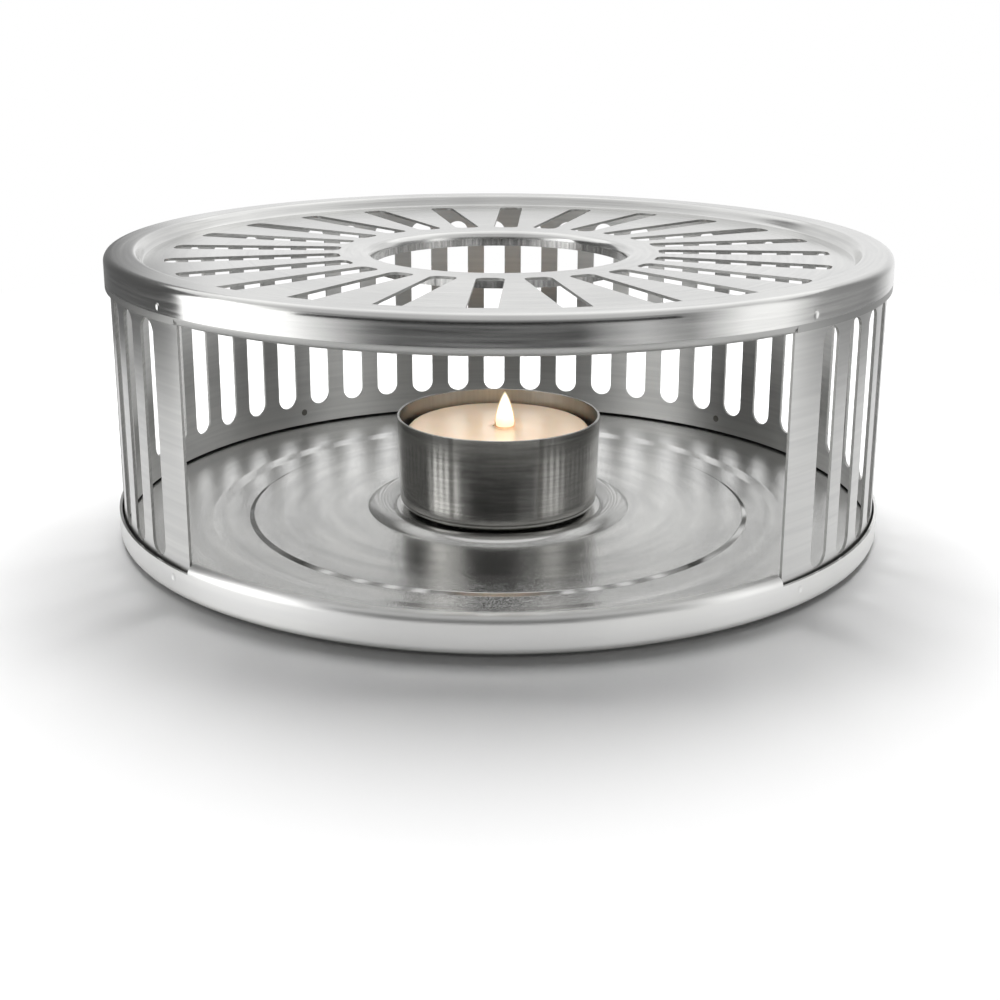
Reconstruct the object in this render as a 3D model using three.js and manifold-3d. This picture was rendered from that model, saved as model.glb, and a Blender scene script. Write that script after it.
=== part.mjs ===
// Teapot warmer in brushed stainless steel. A slotted wall strip is spot-welded between a pressed
// tray and a pressed top grille, and leaves a wide opening at the front. A loose steel cup stands in
// the ring bead of the tray and holds a tealight.
// Millimetres, +Z up, origin on the table under the centre, opening towards -Y.
import * as THREE from 'three';
import { mergeVertices } from 'three/addons/utils/BufferGeometryUtils.js';
import Module from 'manifold-3d';

// Overall size and sheet
const BODY_D = 150;            // outside of tray rim and grille skirt
const BODY_H = 55;             // table to the top of the grille's rim
const SHEET = 0.5;             // stainless sheet of tray, wall and grille
const WALL_GAP = 0.4;          // between the wall strip and the sheet outside it
const SEAT_GAP = 0.3;          // between pieces that rest on each other

// Base tray
const FOOT_DEPTH = 0.4;        // depth of the ring pressed down to stand on
const FOOT_MID_D = 106;        // middle of that ring
const FOOT_WIDTH = 5.6;        // flat of that ring
const FOOT_RAMP = 0.8;         // run of each of its flanks
const TRAY_ROUND = 1.4;        // outside radius between floor and rim
const TRAY_RIM_H = 5.6;        // table to the plain top edge of the rim
const BEAD_H = 1.3;            // ring bead that locates the cup
const BEAD_FLAT = 1;           // flat on top of the bead
const BEAD_RAMP = 2.3;         // run of each of its flanks
const BEAD_CLEAR = 0.9;        // between the bead's inner foot and the cup

// Rolled edges across the front opening
const CURL_R = 1.6;            // outside radius of the rolled edge
const CURL_TURN = 215;         // degrees of roll
const CURL_END_GAP = 0.6;      // along the rim, between the roll and the wall's end
const SKIRT_CURL_UP = 1.25;    // middle of the skirt's roll above the skirt's plain edge

// Slotted wall
const OPENING = 84.8;          // degrees left open at the front
const WALL_SLOTS = 38;
const WALL_SLOT_W = 5.1;
const END_PANEL = 7.9;         // plain strip from the wall's end to its first slot
const SLOT_ABOVE_RIM = 0.3;    // lower slot ends above the tray rim
const SLOT_BELOW_SKIRT = 0.5;  // upper slot ends below the grille's skirt

// Top grille
const SKIRT_H = 6.2;           // top of the grille to the plain lower edge of its skirt
const GRILLE_ROUND = 1.5;      // outside radius between rim and skirt
const RIM_W = 5.4;             // raised rim, from the outside
const STEP_H = 2.2;            // rim down to the plate
const STEP_RUN = 1.7;
const HOLE_D = 49.5;           // clear hole inside the turned-down flange
const HOLE_ROUND = 1.6;        // outside radius between plate and flange
const FLANGE_H = 3;            // plate down to the flange's lower edge
const GRILLE_SLOTS = 24;
const GRILLE_SLOT_W = 5.1;
const GRILLE_SLOT_ROUND = 1.6; // corner radius of a slot
const HUB_LAND = 4.8;          // plain plate between the hole's round and the slots
const RIM_LAND = 3.9;          // plain plate between the slots and the step

// Spot welds
const WELD_D = 2.6;
const WELD_CLEAR = 0.05;       // between the weld button and each sheet
const WELD_DENT_D = 1.6;       // electrode mark outside
const WELD_DENT = 0.2;         // depth of that mark
const WELD_DENT_FLOOR = 0.55;  // floor of the mark, as a share of its rim
const WELD_BACK_BAR = 6;       // bars from the exact back to the rear welds

// Candle cup
const CUP_H = 18.6;
const CUP_SHEET = 0.5;
const CUP_CORNER = 1.8;        // outside radius at the foot
const CUP_FLARE = 0.5;         // how much wider the mouth is than the foot, on the radius
const CUP_CLEAR = 0.6;         // between the tealight and the cup's wall

// Tealight
const CAN_D = 37.6;
const CAN_H = 14.2;
const CAN_SHEET = 0.3;
const CAN_CORNER = 1.6;
const WAX_CLEAR = 0.2;         // between wax and can, wick and wax
const WAX_PROUD = 1.1;         // wax above the can's edge
const WAX_ROUND = 1.3;         // rounded edge of the wax
const WICK_D = 1.6;
const WICK_OUT = 3;            // wick above the wax
const WICK_LEAN = 0.9;         // how far its tip leans over
const WICK_LEAN_TO = 70;       // degrees from the front towards +X
const SUSTAINER_D = 12;
const SUSTAINER_SHEET = 0.4;
const SUSTAINER_NECK = 3;      // collar round the wick, above the disc

// Facets of the round forms, and steps of each bend or curve
const BODY_FACETS = 56;
const CUP_FACETS = 36;
const SMALL_FACETS = 16;
const WELD_FACETS = 8;
const FRONT_FACETS = 9;        // across the opening
const SLOT_END_STEPS = 3;
const SLOT_CORNER_STEPS = 1;
const TRAY_STEPS = 2;
const PRESS_STEPS = 3;
const WAX_STEPS = 2;
const WICK_STEPS = 10;
const WICK_SIDES = 4;          // steps of half its round

// Worked-out sizes
const bodyR = BODY_D / 2;
const sheetInsideR = bodyR - SHEET;
const wallOutR = sheetInsideR - WALL_GAP;
const wallInR = wallOutR - SHEET;
const floorTop = FOOT_DEPTH + SHEET;
const skirtLow = BODY_H - SKIRT_H;
const plateTop = BODY_H - STEP_H;
const canR = CAN_D / 2;
const cupFootR = canR + CUP_CLEAR + CUP_SHEET;
const openHalf = THREE.MathUtils.degToRad(OPENING / 2);
const panelAngle = END_PANEL / wallOutR;
const slotAngle = WALL_SLOT_W / wallOutR;
const firstSlot = openHalf + panelAngle + slotAngle / 2;
const slotPitch = 2 * (Math.PI - firstSlot) / (WALL_SLOTS - 1);

const wasm = await Module();
wasm.setup();

// A closed three.js geometry as a solid for joining and cutting.
function toSolid(geometry) {
  geometry.deleteAttribute('normal');
  geometry.deleteAttribute('uv');
  const merged = mergeVertices(geometry);
  const corners = merged.index.array;
  const triangles = [];
  for (let i = 0; i < corners.length; i += 3) {
    const [a, b, c] = corners.subarray(i, i + 3);
    if (a !== b && b !== c && c !== a) triangles.push(a, b, c);
  }
  return new wasm.Manifold(new wasm.Mesh({
    numProp: 3,
    vertProperties: merged.attributes.position.array,
    triVerts: new Uint32Array(triangles),
  }));
}

function toGeometry(solid) {
  const mesh = solid.getMesh();
  const geometry = new THREE.BufferGeometry();
  geometry.setAttribute('position', new THREE.BufferAttribute(mesh.vertProperties, 3));
  geometry.setIndex(new THREE.BufferAttribute(mesh.triVerts, 1));
  geometry.computeVertexNormals();
  return geometry;
}

// Outline of a sheet that follows a centre line drawn as radius and height.
function sheetOutline(path, thickness, divisions) {
  const line = path.getPoints(divisions);
  const over = [];
  const under = [];
  line.forEach((point, i) => {
    const before = point.clone().sub(line[Math.max(i - 1, 0)]).normalize();
    const after = line[Math.min(i + 1, line.length - 1)].clone().sub(point).normalize();
    const along = before.clone().add(after).normalize();
    const lead = i === 0 ? after : before;
    const reach = thickness / 2 / along.dot(lead);
    const side = new THREE.Vector2(-along.y, along.x).multiplyScalar(reach);
    over.push(point.clone().add(side));
    under.push(point.clone().sub(side));
  });
  return [...under, ...over.reverse()];
}

// Revolves an outline of radius and height about Z. Angles start at the front, towards +X.
function revolve(outline, facets) {
  const points = THREE.ShapeUtils.area(outline) < 0 ? outline.toReversed() : [...outline];
  const onAxis = points[0].x === 0 && points.at(-1).x === 0;
  if (!onAxis) points.push(points[0].clone());
  const geometry = new THREE.LatheGeometry(points, facets);
  geometry.rotateX(Math.PI / 2);
  return toSolid(geometry);
}

// Upright prism over a ring sector between two angles from the front.
function ringSector(innerR, outerR, from, to, low, high, curveSegments) {
  const shape = new THREE.Shape();
  shape.absarc(0, 0, outerR, from - Math.PI / 2, to - Math.PI / 2, false);
  shape.absarc(0, 0, innerR, to - Math.PI / 2, from - Math.PI / 2, true);
  const geometry = new THREE.ExtrudeGeometry(shape, {
    depth: high - low, bevelEnabled: false, curveSegments,
  });
  geometry.translate(0, 0, low);
  return toSolid(geometry);
}

// Height of a sheet's inside surface above its flat floor, close to a rounded corner.
function cornerRise(round, radius) {
  const inside = round - SHEET;
  const past = Math.max(0, radius - (bodyR - round));
  return inside - Math.sqrt(inside * inside - past * past);
}

// Turns a geometry that points to the front round to an angle.
function facing(geometry, angle) {
  return geometry.clone().rotateZ(angle);
}

// Rolls a rim's edge inwards across the opening. Up is 1 for the tray and -1 for the skirt.
function rollFrontEdge(pressing, middleZ, up) {
  const lineR = CURL_R - SHEET / 2;
  const middleR = bodyR - CURL_R;
  const path = new THREE.Path();
  path.moveTo(middleR + lineR, middleZ - up * CURL_R);
  path.lineTo(middleR + lineR, middleZ);
  const turn = THREE.MathUtils.degToRad(CURL_TURN);
  path.absarc(middleR, middleZ, lineR, 0, up * turn, up < 0);
  const ring = revolve(sheetOutline(path, SHEET, PRESS_STEPS), BODY_FACETS);
  const half = openHalf - CURL_END_GAP / bodyR;
  const reach = 2 * CURL_R;
  const across = (low, high) => ringSector(
    bodyR - 2 * reach, bodyR + reach, -half, half, low, high, FRONT_FACETS,
  );
  const beyond = [middleZ, middleZ + up * reach].toSorted((a, b) => a - b);
  const roll = ring.intersect(across(middleZ - reach, middleZ + reach));
  return pressing.subtract(across(...beyond)).add(roll);
}

// Angles of the spot welds: in the middle of each end panel and on a bar at each side of the back.
const frontWeld = openHalf + panelAngle / 2;
const backWeld = Math.PI - WELD_BACK_BAR * slotPitch;
const WELD_ANGLES = {
  front_left: -frontWeld,
  front_right: frontWeld,
  back_left: -backWeld,
  back_right: backWeld,
};
const trayWeldZ = (floorTop + TRAY_ROUND + TRAY_RIM_H) / 2;
const grilleWeldZ = (skirtLow + BODY_H - GRILLE_ROUND) / 2;

// Shallow cone of an electrode mark, pressed into a rim from outside.
function weldMarks(height) {
  const rimR = WELD_DENT_D / 2;
  const floorR = rimR * WELD_DENT_FLOOR;
  const slope = (rimR - floorR) / WELD_DENT;
  const cone = new THREE.CylinderGeometry(floorR, rimR + slope * SHEET, WELD_DENT + SHEET, WELD_FACETS);
  cone.translate(0, -bodyR + WELD_DENT - (WELD_DENT + SHEET) / 2, height);
  return Object.values(WELD_ANGLES).map((angle) => toSolid(facing(cone, angle)));
}

function cutAll(solid, cutters) {
  return cutters.reduce((rest, cutter) => rest.subtract(cutter), solid);
}

// Pressed tray: flat floor, ring bead round the cup, foot ring and upturned rim.
function baseTray() {
  const floorZ = FOOT_DEPTH + SHEET / 2;
  const footZ = SHEET / 2;
  const rimLineR = bodyR - SHEET / 2;
  const beadIn = cupFootR + BEAD_CLEAR;
  const beadOut = beadIn + 2 * BEAD_RAMP + BEAD_FLAT;
  const footIn = (FOOT_MID_D - FOOT_WIDTH) / 2;
  const footOut = (FOOT_MID_D + FOOT_WIDTH) / 2;
  const path = new THREE.Path();
  path.moveTo(0, floorZ);
  path.lineTo(beadIn, floorZ);
  path.quadraticCurveTo(beadIn + BEAD_RAMP / 2, floorZ + BEAD_H, beadIn + BEAD_RAMP, floorZ + BEAD_H);
  path.lineTo(beadIn + BEAD_RAMP + BEAD_FLAT, floorZ + BEAD_H);
  path.quadraticCurveTo(beadOut - BEAD_RAMP / 2, floorZ + BEAD_H, beadOut, floorZ);
  path.lineTo(footIn - FOOT_RAMP, floorZ);
  path.lineTo(footIn, footZ);
  path.lineTo(footOut, footZ);
  path.lineTo(footOut + FOOT_RAMP, floorZ);
  path.lineTo(bodyR - TRAY_ROUND, floorZ);
  path.quadraticCurveTo(rimLineR, floorZ, rimLineR, FOOT_DEPTH + TRAY_ROUND);
  path.lineTo(rimLineR, TRAY_RIM_H);
  const pressing = revolve(sheetOutline(path, SHEET, TRAY_STEPS), BODY_FACETS);
  return cutAll(rollFrontEdge(pressing, TRAY_RIM_H, 1), weldMarks(trayWeldZ));
}

// Wall strip: a C-shaped band with a row of upright slots that have full-round ends.
function slottedWall() {
  const low = floorTop + cornerRise(TRAY_ROUND, wallOutR) + SEAT_GAP;
  const high = BODY_H - SHEET - cornerRise(GRILLE_ROUND, wallOutR) - SEAT_GAP;
  const farEnd = 2 * Math.PI - openHalf;
  const band = ringSector(wallInR, wallOutR, openHalf, farEnd, low, high, WALL_SLOTS / 2 + 1);
  const endR = WALL_SLOT_W / 2;
  const lowEnd = TRAY_RIM_H + SLOT_ABOVE_RIM + endR;
  const highEnd = skirtLow - SLOT_BELOW_SKIRT - endR;
  const obround = new THREE.Shape();
  obround.absarc(0, highEnd, endR, 0, Math.PI, false);
  obround.absarc(0, lowEnd, endR, Math.PI, 2 * Math.PI, false);
  const cutter = new THREE.ExtrudeGeometry(obround, {
    depth: SHEET + 2 * WALL_SLOT_W, bevelEnabled: false, curveSegments: SLOT_END_STEPS,
  });
  cutter.translate(0, 0, wallInR - WALL_SLOT_W);
  cutter.rotateX(Math.PI / 2);
  const angles = Array.from({ length: WALL_SLOTS }, (_, i) => firstSlot + i * slotPitch);
  return cutAll(band, angles.map((angle) => toSolid(facing(cutter, angle))));
}

// Pressed top: skirt, raised rim, sunk plate with radial slots, and a turned-down flange.
function topGrille() {
  const half = SHEET / 2;
  const topZ = BODY_H - half;
  const plateZ = plateTop - half;
  const stepOut = bodyR - RIM_W;
  const stepIn = stepOut - STEP_RUN;
  const flangeLineR = HOLE_D / 2 + half;
  const roundR = HOLE_ROUND - half;
  const hubR = flangeLineR + roundR;
  const path = new THREE.Path();
  path.moveTo(bodyR - half, skirtLow);
  path.lineTo(bodyR - half, BODY_H - GRILLE_ROUND);
  path.quadraticCurveTo(bodyR - half, topZ, bodyR - GRILLE_ROUND, topZ);
  path.lineTo(stepOut, topZ);
  const stepMid = (stepOut + stepIn) / 2;
  path.bezierCurveTo(stepMid, topZ, stepMid, plateZ, stepIn, plateZ);
  path.lineTo(hubR, plateZ);
  path.quadraticCurveTo(flangeLineR, plateZ, flangeLineR, plateZ - roundR);
  path.lineTo(flangeLineR, plateTop - FLANGE_H);
  const pressing = revolve(sheetOutline(path, SHEET, PRESS_STEPS), BODY_FACETS);

  const slotIn = hubR + HUB_LAND;
  const slotOut = stepIn - RIM_LAND;
  const slot = new THREE.Shape();
  const cornerX = GRILLE_SLOT_W / 2 - GRILLE_SLOT_ROUND;
  const nearY = -slotIn - GRILLE_SLOT_ROUND;
  const farY = -slotOut + GRILLE_SLOT_ROUND;
  slot.absarc(cornerX, nearY, GRILLE_SLOT_ROUND, 0, Math.PI / 2, false);
  slot.absarc(-cornerX, nearY, GRILLE_SLOT_ROUND, Math.PI / 2, Math.PI, false);
  slot.absarc(-cornerX, farY, GRILLE_SLOT_ROUND, Math.PI, 1.5 * Math.PI, false);
  slot.absarc(cornerX, farY, GRILLE_SLOT_ROUND, 1.5 * Math.PI, 2 * Math.PI, false);
  const cutter = new THREE.ExtrudeGeometry(slot, {
    depth: 3 * SHEET, bevelEnabled: false, curveSegments: SLOT_CORNER_STEPS,
  });
  cutter.translate(0, 0, plateTop - 2 * SHEET);
  const angles = Array.from({ length: GRILLE_SLOTS }, (_, i) => 2 * Math.PI * i / GRILLE_SLOTS);
  const slots = angles.map((angle) => toSolid(facing(cutter, angle)));
  const rolled = rollFrontEdge(pressing, skirtLow + SKIRT_CURL_UP, -1);
  return cutAll(rolled, [...slots, ...weldMarks(grilleWeldZ)]);
}

// Weld button between the wall strip and the flats of the sheet outside it, standing at the front.
function weldButton() {
  const near = wallOutR + WELD_CLEAR;
  const far = sheetInsideR * Math.cos(Math.PI / BODY_FACETS) - WELD_CLEAR;
  const button = new THREE.CylinderGeometry(WELD_D / 2, WELD_D / 2, far - near, WELD_FACETS);
  button.translate(0, -(near + far) / 2, 0);
  return button;
}

// Round cup of sheet, standing on z = 0: flat bottom, soft corner, straight flared wall.
function sheetCup(footR, mouthR, height, corner, thickness, facets) {
  const half = thickness / 2;
  const lineR = footR - half;
  const cornerTopR = lineR + (mouthR - footR) * corner / height;
  const path = new THREE.Path();
  path.moveTo(0, half);
  path.lineTo(footR - corner, half);
  path.quadraticCurveTo(lineR, half, cornerTopR, corner);
  path.lineTo(mouthR - half, height);
  return revolve(sheetOutline(path, thickness, PRESS_STEPS), facets);
}

// Wax: a filled disc with a rounded top edge, a wick hole, and a hollow under it for the sustainer.
function tealightWax(wickR, low, high) {
  const outR = canR - CAN_SHEET - WAX_CLEAR;
  const footR = outR - CAN_CORNER;
  const holeR = wickR + WAX_CLEAR;
  const neckR = holeR + SUSTAINER_SHEET + WAX_CLEAR;
  const discR = SUSTAINER_D / 2 + WAX_CLEAR;
  const discTop = low + SUSTAINER_SHEET + WAX_CLEAR;
  const outline = new THREE.Path();
  outline.moveTo(discR, low);
  outline.lineTo(footR, low);
  outline.lineTo(outR, low + CAN_CORNER);
  outline.lineTo(outR, high - WAX_ROUND);
  outline.absarc(outR - WAX_ROUND, high - WAX_ROUND, WAX_ROUND, 0, Math.PI / 2, false);
  outline.lineTo(holeR, high);
  outline.lineTo(holeR, discTop + SUSTAINER_NECK);
  outline.lineTo(neckR, discTop + SUSTAINER_NECK);
  outline.lineTo(neckR, discTop);
  outline.lineTo(discR, discTop);
  return revolve(outline.getPoints(WAX_STEPS), CUP_FACETS);
}

// Wick sustainer: a tinned disc with a collar crimped round the wick.
function wickSustainer(wickR, low) {
  const boreR = wickR + WAX_CLEAR / 2;
  const collarR = boreR + SUSTAINER_SHEET;
  const discTop = low + SUSTAINER_SHEET;
  const outline = [
    new THREE.Vector2(boreR, low),
    new THREE.Vector2(SUSTAINER_D / 2, low),
    new THREE.Vector2(SUSTAINER_D / 2, discTop),
    new THREE.Vector2(collarR, discTop),
    new THREE.Vector2(collarR, discTop + SUSTAINER_NECK),
    new THREE.Vector2(boreR, discTop + SUSTAINER_NECK),
  ];
  return revolve(outline, SMALL_FACETS);
}

// Wick: upright through the wax, then leaning over.
function tealightWick(wickR, low, waxTop) {
  const side = THREE.MathUtils.degToRad(WICK_LEAN_TO);
  const foot = new THREE.Vector3(0, 0, low);
  const exit = new THREE.Vector3(0, 0, waxTop);
  const bend = new THREE.Vector3(0, 0, waxTop + WICK_OUT / 2);
  const tip = new THREE.Vector3(
    WICK_LEAN * Math.sin(side), -WICK_LEAN * Math.cos(side), waxTop + WICK_OUT,
  );
  const route = new THREE.CurvePath();
  route.add(new THREE.LineCurve3(foot, exit));
  route.add(new THREE.QuadraticBezierCurve3(exit, bend, tip));
  const section = new THREE.Shape();
  section.absarc(0, 0, wickR, 0, 2 * Math.PI, false);
  return new THREE.ExtrudeGeometry(section, {
    steps: WICK_STEPS, curveSegments: WICK_SIDES, extrudePath: route,
  });
}

const brushedSteel = new THREE.MeshStandardMaterial({ color: 0xc8c8c6, roughness: 0.34, metalness: 1 });
const cupSteel = new THREE.MeshStandardMaterial({ color: 0x9c9b98, roughness: 0.3, metalness: 1 });
const aluminium = new THREE.MeshStandardMaterial({ color: 0xd8d9da, roughness: 0.28, metalness: 1 });
const wax = new THREE.MeshStandardMaterial({ color: 0xf2d9c6, roughness: 0.5, metalness: 0 });
const cotton = new THREE.MeshStandardMaterial({ color: 0x4a4038, roughness: 0.95, metalness: 0 });
const tinplate = new THREE.MeshStandardMaterial({ color: 0xb9bcc0, roughness: 0.4, metalness: 1 });

function piece(name, geometry, material) {
  const mesh = new THREE.Mesh(geometry, material);
  mesh.name = name;
  return mesh;
}

const warmer = new THREE.Group();
warmer.add(piece('base_tray', toGeometry(baseTray()), brushedSteel));
warmer.add(piece('slotted_wall', toGeometry(slottedWall()), brushedSteel));
warmer.add(piece('top_grille', toGeometry(topGrille()), brushedSteel));
for (const [place, angle] of Object.entries(WELD_ANGLES)) {
  for (const [rim, height] of [['tray', trayWeldZ], ['grille', grilleWeldZ]]) {
    const weld = piece(`weld_${rim}_${place}`, weldButton(), brushedSteel);
    weld.position.z = height;
    weld.rotation.z = angle;
    warmer.add(weld);
  }
}

// The cup stands on the tray, and the tealight stands in the cup.
const cup = new THREE.Group();
cup.position.z = floorTop + SEAT_GAP;
const cupSolid = sheetCup(cupFootR, cupFootR + CUP_FLARE, CUP_H, CUP_CORNER, CUP_SHEET, CUP_FACETS);
cup.add(piece('candle_cup', toGeometry(cupSolid), cupSteel));
warmer.add(cup);

const tealight = new THREE.Group();
tealight.position.z = CUP_SHEET + SEAT_GAP;
const canFloor = CAN_SHEET + SEAT_GAP;
const waxTop = CAN_H + WAX_PROUD;
const wickR = WICK_D / 2;
const canSolid = sheetCup(canR, canR, CAN_H, CAN_CORNER, CAN_SHEET, CUP_FACETS);
tealight.add(piece('tealight_can', toGeometry(canSolid), aluminium));
tealight.add(piece('tealight_wax', toGeometry(tealightWax(wickR, canFloor, waxTop)), wax));
tealight.add(piece('wick_sustainer', toGeometry(wickSustainer(wickR, canFloor)), tinplate));
tealight.add(piece('tealight_wick', tealightWick(wickR, canFloor, waxTop), cotton));
cup.add(tealight);

export default warmer;
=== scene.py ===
import math

import bpy
from mathutils import Matrix, Vector


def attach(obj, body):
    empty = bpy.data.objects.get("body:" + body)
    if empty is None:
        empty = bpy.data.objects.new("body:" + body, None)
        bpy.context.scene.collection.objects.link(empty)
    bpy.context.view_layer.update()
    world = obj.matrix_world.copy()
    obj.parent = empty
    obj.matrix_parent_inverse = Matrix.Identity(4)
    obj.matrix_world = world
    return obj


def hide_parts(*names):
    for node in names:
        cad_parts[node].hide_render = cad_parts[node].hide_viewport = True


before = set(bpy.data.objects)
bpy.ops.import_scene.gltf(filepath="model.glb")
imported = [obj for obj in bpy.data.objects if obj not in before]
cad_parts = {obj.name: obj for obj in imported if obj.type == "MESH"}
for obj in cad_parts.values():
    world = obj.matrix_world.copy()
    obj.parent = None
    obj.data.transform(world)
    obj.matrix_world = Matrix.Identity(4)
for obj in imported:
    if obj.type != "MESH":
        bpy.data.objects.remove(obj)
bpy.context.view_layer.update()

# Base tray. One disc of stainless sheet, deep-drawn to a flat floor with a ring bead that locates the
# cup, a foot ring pressed down to stand on, and an upturned rim. The wall strip is spot-welded inside
# the rim, and across the front opening the rim's edge is rolled inwards so that no hand meets it.
MM = 0.001
SHEET = 0.5
BODY_R = 75
ROUND_STEPS = 240
MERGE = 0.002 * MM
FLOOR_Z = 0.65
FOOT_Z = 0.25
RIM_LINE_R = BODY_R - SHEET / 2
RIM_TOP = 5.6
TRAY_ROUND = 1.15
CURL_LINE_R = 1.35
CURL_TURN = 215
CURL_HALF = 42
BEAD_IN, BEAD_OUT, BEAD_H = 20.8, 26.4, 1.3
FOOT_IN, FOOT_IN_HALF = 49.7, 0.5
FOOT_OUT, FOOT_OUT_HALF = 56.3, 1.3


def start_fresh(*pieces):
    """Back to object mode with only these pieces selected, the first one active."""
    if bpy.context.mode != "OBJECT":
        bpy.ops.object.mode_set(mode="OBJECT")
    bpy.ops.object.select_all(action="DESELECT")
    for piece in pieces:
        piece.select_set(True)
    if pieces:
        bpy.context.view_layer.objects.active = pieces[0]


def arc(r, z, radius, start, end, steps):
    """Points of a round in a profile. Degrees: 0 is outwards, 90 is up."""
    angles = [math.radians(start + (end - start) * i / steps) for i in range(steps + 1)]
    return [(r + radius * math.cos(a), z + radius * math.sin(a)) for a in angles]


def merge_corners(piece):
    """Joins corners that lie on each other and turns every face outwards."""
    start_fresh(piece)
    bpy.ops.object.mode_set(mode="EDIT")
    bpy.ops.mesh.select_all(action="SELECT")
    bpy.ops.mesh.remove_doubles(threshold=MERGE)
    bpy.ops.mesh.normals_make_consistent(inside=False)
    bpy.ops.object.mode_set(mode="OBJECT")


def spun(name, profile, start=0, sweep=360, round_steps=ROUND_STEPS):
    """Draws a profile of radius and height in mm by extruding a corner, and spins it from the front."""
    start_fresh()
    bpy.ops.mesh.primitive_plane_add(size=MM)
    piece = bpy.context.object
    piece.name = piece.data.name = name
    bpy.ops.object.mode_set(mode="EDIT")
    bpy.ops.mesh.merge(type="CENTER")
    turn = math.radians(start)
    points = [Vector((r * math.sin(turn), -r * math.cos(turn), z)) * MM for r, z in profile]
    bpy.ops.transform.translate(value=points[0])
    for here, there in zip(points, points[1:]):
        bpy.ops.mesh.extrude_region_move(TRANSFORM_OT_translate={"value": there - here})
    bpy.ops.mesh.select_all(action="SELECT")
    steps = round(round_steps * sweep / 360)
    bpy.ops.mesh.spin(steps=steps, angle=-math.radians(sweep), center=(0, 0, 0), axis=(0, 0, 1))
    merge_corners(piece)
    return piece


def joined(*pieces):
    """Joins drawn sheets edge to edge into one."""
    start_fresh(*pieces)
    bpy.ops.object.join()
    merge_corners(pieces[0])
    return pieces[0]


def apply_modifier(piece, kind, **settings):
    """Gives a piece a modifier with these settings and applies it."""
    start_fresh(piece)
    modifier = piece.modifiers.new(kind, kind)
    for name, value in settings.items():
        setattr(modifier, name, value)
    bpy.ops.object.modifier_apply(modifier=modifier.name)


def thicken(piece, thickness):
    """Gives a drawn sheet its thickness, half to each side."""
    apply_modifier(
        piece, "SOLIDIFY", thickness=thickness * MM, offset=0, use_even_offset=True,
    )


def cut(piece, cutter):
    """Punches a cutter out of a piece and removes the cutter."""
    apply_modifier(piece, "BOOLEAN", operation="DIFFERENCE", solver="EXACT", object=cutter)
    bpy.data.objects.remove(cutter)


def smooth(piece, angle=35):
    """Shades rounds smooth and keeps sheet edges crisp and flats flat."""
    start_fresh(piece)
    bpy.ops.object.shade_smooth_by_angle(angle=math.radians(angle))
    apply_modifier(piece, "WEIGHTED_NORMAL", keep_sharp=True, weight=60)


def bump_ring(start, end, low, height, steps):
    """Profile of a rounded ring bead: both flanks and the crest as one soft wave."""
    shares = [i / steps for i in range(steps + 1)]
    return [
        (start + (end - start) * t, low + height * math.sin(math.pi * t) ** 0.8) for t in shares
    ]


def pressed_flank(r, half, z_from, z_to):
    """Profile of a foot ring's flank: a slope that runs half to each side of r, eased at its ends."""
    ease = 0.08 * (z_to - z_from)
    near = 0.8 * half
    return [(r - half, z_from), (r - near, z_from + ease), (r + near, z_to - ease), (r + half, z_to)]


tray_profile = [
    (0, FLOOR_Z), (8, FLOOR_Z), (18, FLOOR_Z), (BEAD_IN - 0.3, FLOOR_Z),
    *bump_ring(BEAD_IN, BEAD_OUT, FLOOR_Z, BEAD_H, 18),
    (BEAD_OUT + 0.3, FLOOR_Z), (38, FLOOR_Z),
    *pressed_flank(FOOT_IN, FOOT_IN_HALF, FLOOR_Z, FOOT_Z),
    *pressed_flank(FOOT_OUT, FOOT_OUT_HALF, FOOT_Z, FLOOR_Z),
    (66, FLOOR_Z), (73.2, FLOOR_Z),
    *arc(RIM_LINE_R - TRAY_ROUND, FLOOR_Z + TRAY_ROUND, TRAY_ROUND, -90, 0, 8),
    (RIM_LINE_R, 2.1), (RIM_LINE_R, 4.2), (RIM_LINE_R, RIM_TOP),
]
tray_curl = arc(RIM_LINE_R - CURL_LINE_R, RIM_TOP, CURL_LINE_R, 0, CURL_TURN, 16)
tray = joined(
    spun("tray_pressing", tray_profile, -CURL_HALF),
    spun("tray_roll", tray_curl, -CURL_HALF, 2 * CURL_HALF),
)
thicken(tray, SHEET)

# Electrode marks of the spot welds: shallow round dents in the outside of the rim
WELD_AT = (-45.5, 45.5, -138, 138)
TRAY_MARK_Z = 3.95
MARK_R = 2.2
MARK_DEPTH = 0.14
OUTSIDE_REACH = BODY_R + MARK_R - MARK_DEPTH


def weld_marks(height, reach):
    """Balls that dent a sheet at each weld, with their middles this far from the axis."""
    balls = []
    for angle in WELD_AT:
        turn = math.radians(angle)
        start_fresh()
        bpy.ops.mesh.primitive_uv_sphere_add(
            segments=48, ring_count=24, radius=MARK_R * MM,
            location=Vector((reach * math.sin(turn), -reach * math.cos(turn), height)) * MM,
        )
        bpy.ops.object.transform_apply(location=True)
        balls.append(bpy.context.object)
    start_fresh(*balls)
    bpy.ops.object.join()
    return balls[0]


cut(tray, weld_marks(TRAY_MARK_Z, OUTSIDE_REACH))
smooth(tray)


def linear(code):
    """A colour written as sRGB hex, in the linear values that shaders take."""
    parts = [int(code[i:i + 2], 16) / 255 for i in (1, 3, 5)]
    return [*(c / 12.92 if c <= 0.04045 else ((c + 0.055) / 1.055) ** 2.4 for c in parts), 1]


def add(tree, kind, inputs=None, **settings):
    """Adds a shader node with its settings, and values or links on its inputs."""
    node = tree.nodes.new("ShaderNode" + kind)
    for name, value in settings.items():
        setattr(node, name, value)
    for name, value in (inputs or {}).items():
        if isinstance(value, bpy.types.NodeSocket):
            tree.links.new(value, node.inputs[name])
        else:
            node.inputs[name].default_value = value
    return node


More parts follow.
